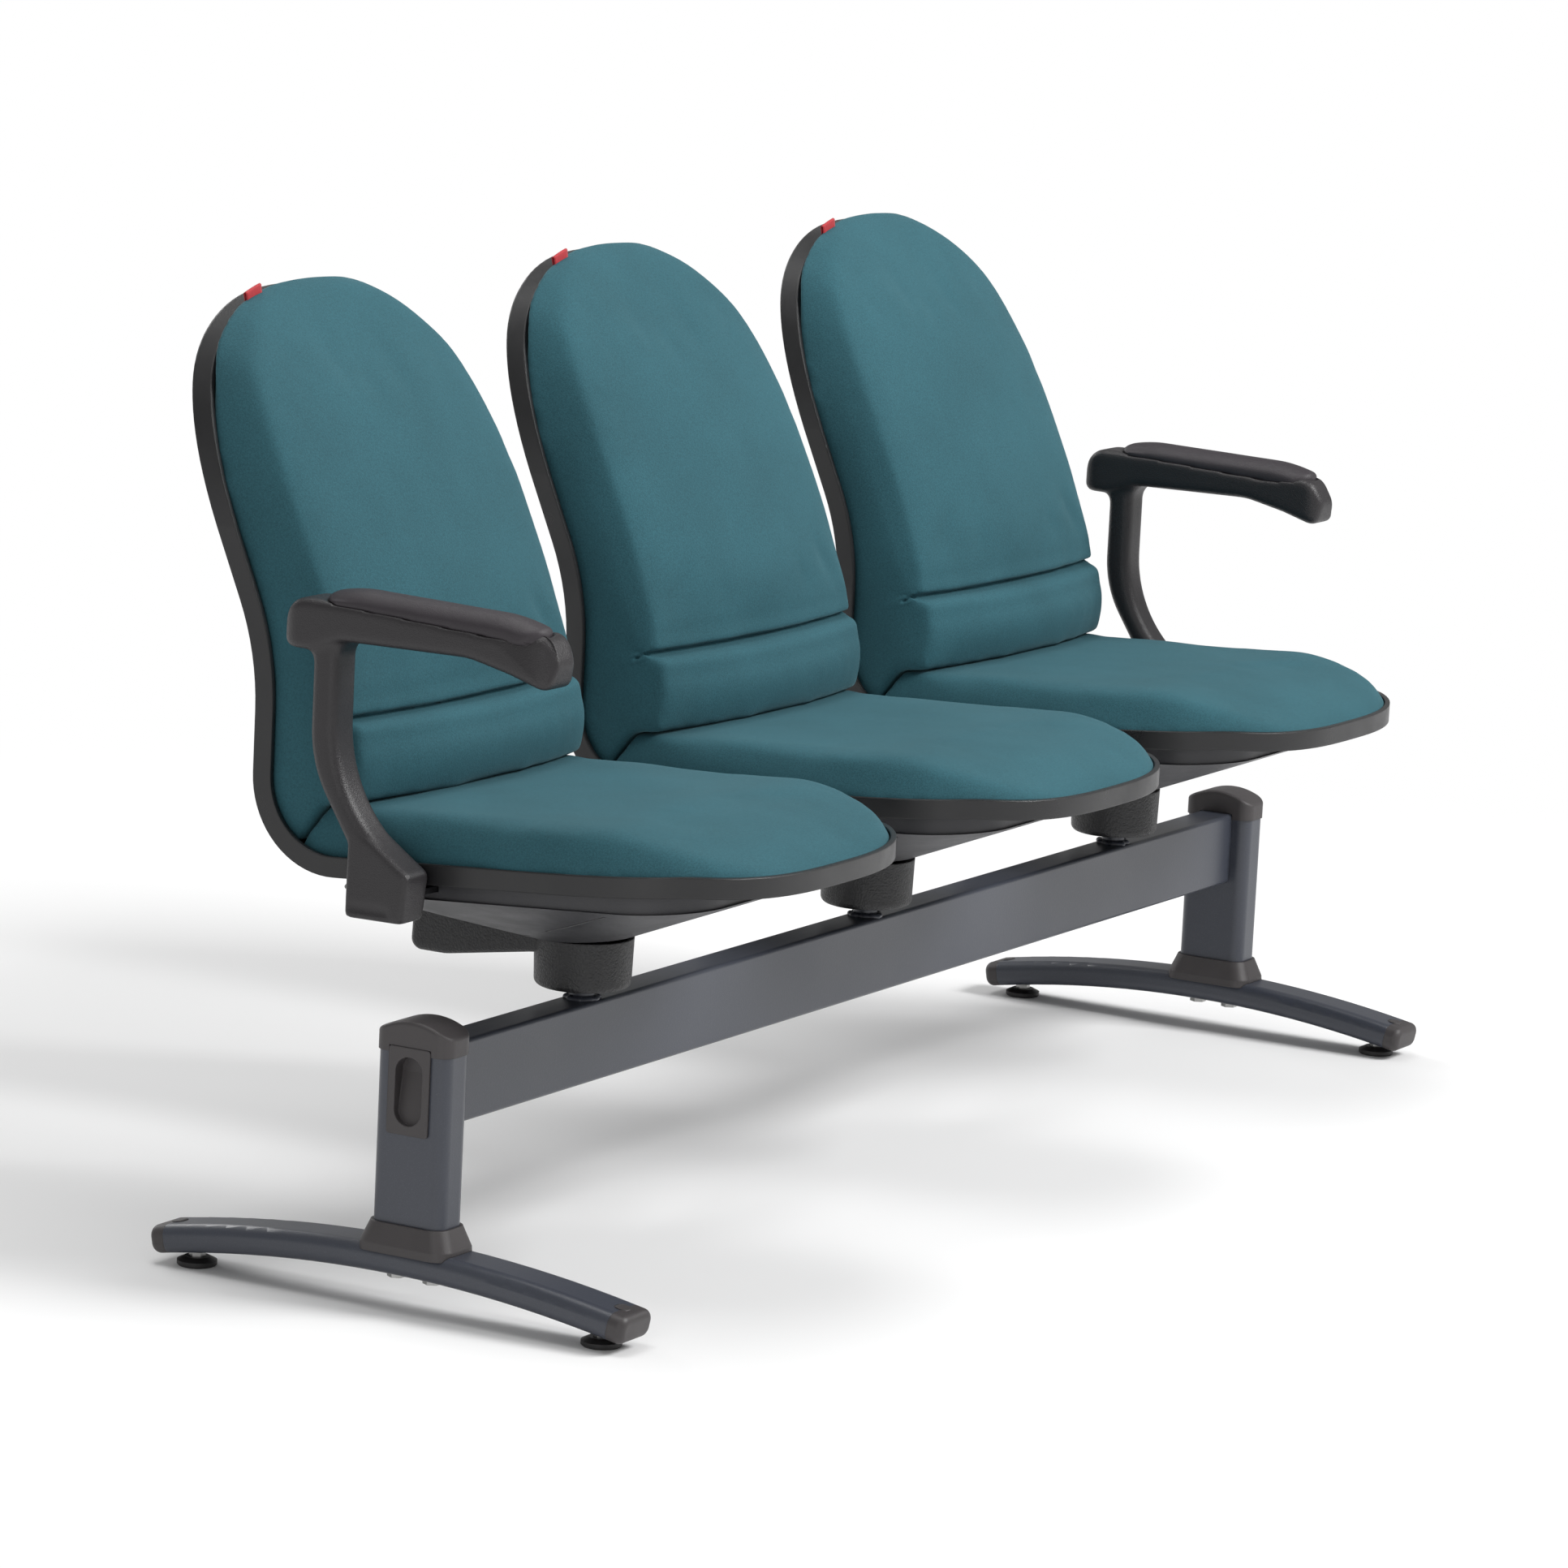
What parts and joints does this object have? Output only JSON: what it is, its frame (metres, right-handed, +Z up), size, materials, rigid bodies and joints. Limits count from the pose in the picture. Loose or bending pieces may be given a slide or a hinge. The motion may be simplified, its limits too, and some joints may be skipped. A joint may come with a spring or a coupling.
{
  "type": "beam seating",
  "caption": "Upholstered contract seats with loop arms at the ends, carried on one rectangular steel beam between two post legs with arched feet and levelling glides.",
  "frame": {"origin": "middle of the whole object's footprint box, on the floor plane under the glides", "axes": "+X along the beam, -Y the way the sitter faces, +Z up"},
  "size_m": [1.743, 0.6617, 0.9249],
  "materials": {
    "slate_paint": "satin",
    "shell_plastic": "satin",
    "pan_plastic": "matte",
    "teal_fabric": "woven",
    "red_ribbon": "woven",
    "cover_plastic": "satin",
    "rough_plastic": "textured",
    "arm_plastic": "textured",
    "arm_pad_plastic": "matte",
    "trim_plastic": "matte",
    "black_steel": "satin",
    "zinc_steel": "brushed",
    "glide_plastic": "matte"
  },
  "bodies": {
    "root": {"arm_bracket_left": "black_steel", "arm_bracket_right": "black_steel", "arm_left": "arm_plastic", "arm_pad_left": "arm_pad_plastic", "arm_pad_right": "arm_pad_plastic", "arm_right": "arm_plastic", "arm_screws": "zinc_steel", "back_cushion_1": "teal_fabric", "back_cushion_2": "teal_fabric", "back_cushion_3": "teal_fabric", "back_tags": "red_ribbon", "base_collar_left": "trim_plastic", "base_collar_right": "trim_plastic", "beam_bolts": "zinc_steel", "beam_tube": "slate_paint", "bolt_pocket_left": "trim_plastic", "bolt_pocket_right": "trim_plastic", "boss_housing_1": "rough_plastic", "boss_housing_2": "rough_plastic", "boss_housing_3": "rough_plastic", "foot_bar_left": "slate_paint", "foot_bar_right": "slate_paint", "foot_bolts": "zinc_steel", "foot_cap_left_front": "trim_plastic", "foot_cap_left_rear": "trim_plastic", "foot_cap_right_front": "trim_plastic", "foot_cap_right_rear": "trim_plastic", "glide_inserts": "zinc_steel", "inner_pan_1": "pan_plastic", "inner_pan_2": "pan_plastic", "inner_pan_3": "pan_plastic", "leg_post_left": "slate_paint", "leg_post_right": "slate_paint", "mount_plate_1": "black_steel", "mount_plate_2": "black_steel", "mount_plate_3": "black_steel", "plate_screws": "zinc_steel", "post_cap_left": "trim_plastic", "post_cap_right": "trim_plastic", "seat_cushion_1": "teal_fabric", "seat_cushion_2": "teal_fabric", "seat_cushion_3": "teal_fabric", "seat_shell_1": "shell_plastic", "seat_shell_2": "shell_plastic", "seat_shell_3": "shell_plastic", "seat_stub_1": "slate_paint", "seat_stub_2": "slate_paint", "seat_stub_3": "slate_paint", "under_cover_1": "cover_plastic", "under_cover_2": "cover_plastic", "under_cover_3": "cover_plastic"},
    "glide_left_front": {"glide_pad_left_front": "glide_plastic", "glide_stem_left_front": "zinc_steel"},
    "glide_left_rear": {"glide_pad_left_rear": "glide_plastic", "glide_stem_left_rear": "zinc_steel"},
    "glide_right_front": {"glide_pad_right_front": "glide_plastic", "glide_stem_right_front": "zinc_steel"},
    "glide_right_rear": {"glide_pad_right_rear": "glide_plastic", "glide_stem_right_rear": "zinc_steel"}
  },
  "joints": [
    {"name": "level_left_front", "type": "slide", "parent": "root", "child": "glide_left_front", "axis": [0, 0, -1], "range_m": [0, 0.01]},
    {"name": "level_left_rear", "type": "slide", "parent": "root", "child": "glide_left_rear", "axis": [0, 0, -1], "range_m": [0, 0.01]},
    {"name": "level_right_front", "type": "slide", "parent": "root", "child": "glide_right_front", "axis": [0, 0, -1], "range_m": [0, 0.01]},
    {"name": "level_right_rear", "type": "slide", "parent": "root", "child": "glide_right_rear", "axis": [0, 0, -1], "range_m": [0, 0.01]}
  ]
}
